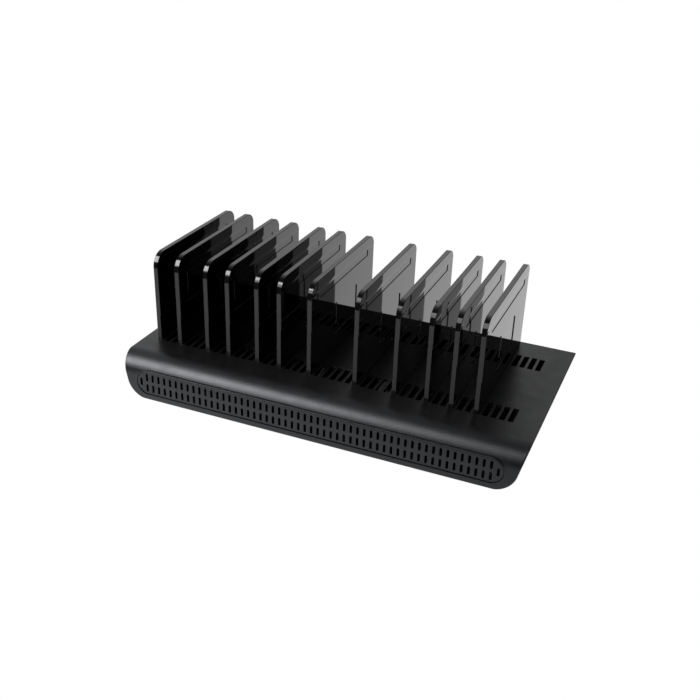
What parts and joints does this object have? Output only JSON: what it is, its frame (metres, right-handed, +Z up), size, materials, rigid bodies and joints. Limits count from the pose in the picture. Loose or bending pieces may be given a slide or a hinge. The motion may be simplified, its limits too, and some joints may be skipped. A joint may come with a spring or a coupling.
{
  "type": "usb charging station",
  "caption": "Long low charging base with a vented rounded front, USB sockets at the back and glossy lift-out dividers standing in rows of slots.",
  "frame": {"origin": "centre of the footprint, on the plane of the rubber feet", "axes": "+X along the base towards the power switch, +Y towards the side with the sockets, +Z up"},
  "size_m": [0.33, 0.1674, 0.1109],
  "materials": {
    "housing": "satin",
    "gloss_black": "high gloss",
    "dark_plastic": "matte",
    "steel": "plated",
    "board": "solder mask",
    "ferrite": "matte",
    "sleeve": "shrink sleeve",
    "copper": "enamelled copper wire",
    "fuse_glass": "clear",
    "aluminium": "mill finish",
    "rubber": "matte"
  },
  "bodies": {
    "base": {"top_cover": "housing", "bottom_cover": "housing", "vent_grille": "housing", "port_panel": "dark_plastic", "main_board": "board", "transformer": "ferrite", "mains_capacitor": "sleeve", "output_capacitor_1": "sleeve", "output_capacitor_2": "sleeve", "ring_choke": "copper", "fuse": "fuse_glass", "heat_sink_1": "aluminium", "heat_sink_2": "aluminium", "mains_inlet": "dark_plastic", "inlet_pin_1": "steel", "inlet_pin_2": "steel", "switch_housing": "dark_plastic", "usb_socket_01": "steel", "usb_socket_02": "steel", "usb_socket_03": "steel", "usb_socket_04": "steel", "usb_socket_05": "steel", "usb_socket_06": "steel", "usb_socket_07": "steel", "usb_socket_08": "steel", "usb_socket_09": "steel", "usb_socket_10": "steel", "usb_tongue_01": "dark_plastic", "usb_tongue_02": "dark_plastic", "usb_tongue_03": "dark_plastic", "usb_tongue_04": "dark_plastic", "usb_tongue_05": "dark_plastic", "usb_tongue_06": "dark_plastic", "usb_tongue_07": "dark_plastic", "usb_tongue_08": "dark_plastic", "usb_tongue_09": "dark_plastic", "usb_tongue_10": "dark_plastic", "rubber_foot_1": "rubber", "rubber_foot_2": "rubber", "rubber_foot_3": "rubber", "rubber_foot_4": "rubber", "screw_1": "steel", "screw_2": "steel", "screw_3": "steel", "screw_4": "steel"},
    "divider_01": {"divider_01": "gloss_black"},
    "divider_02": {"divider_02": "gloss_black"},
    "divider_03": {"divider_03": "gloss_black"},
    "divider_04": {"divider_04": "gloss_black"},
    "divider_05": {"divider_05": "gloss_black"},
    "divider_06": {"divider_06": "gloss_black"},
    "divider_07": {"divider_07": "gloss_black"},
    "divider_08": {"divider_08": "gloss_black"},
    "divider_09": {"divider_09": "gloss_black"},
    "divider_10": {"divider_10": "gloss_black"},
    "divider_11": {"divider_11": "gloss_black"},
    "divider_12": {"divider_12": "gloss_black"},
    "power_rocker": {"power_rocker": "dark_plastic"}
  },
  "joints": [
    {"name": "divider_01_lift", "type": "slide", "parent": "base", "child": "divider_01", "axis": [0, 0, 1], "range_m": [0, 0.025]},
    {"name": "divider_02_lift", "type": "slide", "parent": "base", "child": "divider_02", "axis": [0, 0, 1], "range_m": [0, 0.025]},
    {"name": "divider_03_lift", "type": "slide", "parent": "base", "child": "divider_03", "axis": [0, 0, 1], "range_m": [0, 0.025]},
    {"name": "divider_04_lift", "type": "slide", "parent": "base", "child": "divider_04", "axis": [0, 0, 1], "range_m": [0, 0.025]},
    {"name": "divider_05_lift", "type": "slide", "parent": "base", "child": "divider_05", "axis": [0, 0, 1], "range_m": [0, 0.025]},
    {"name": "divider_06_lift", "type": "slide", "parent": "base", "child": "divider_06", "axis": [0, 0, 1], "range_m": [0, 0.025]},
    {"name": "divider_07_lift", "type": "slide", "parent": "base", "child": "divider_07", "axis": [0, 0, 1], "range_m": [0, 0.025]},
    {"name": "divider_08_lift", "type": "slide", "parent": "base", "child": "divider_08", "axis": [0, 0, 1], "range_m": [0, 0.025]},
    {"name": "divider_09_lift", "type": "slide", "parent": "base", "child": "divider_09", "axis": [0, 0, 1], "range_m": [0, 0.025]},
    {"name": "divider_10_lift", "type": "slide", "parent": "base", "child": "divider_10", "axis": [0, 0, 1], "range_m": [0, 0.025]},
    {"name": "divider_11_lift", "type": "slide", "parent": "base", "child": "divider_11", "axis": [0, 0, 1], "range_m": [0, 0.025]},
    {"name": "divider_12_lift", "type": "slide", "parent": "base", "child": "divider_12", "axis": [0, 0, 1], "range_m": [0, 0.025]},
    {"name": "rocker_tilt", "type": "hinge", "parent": "base", "child": "power_rocker", "pos_m": [0.115, 0.07775, 0.0185], "axis": [0, 0, 1], "range_deg": [0, 20]}
  ]
}
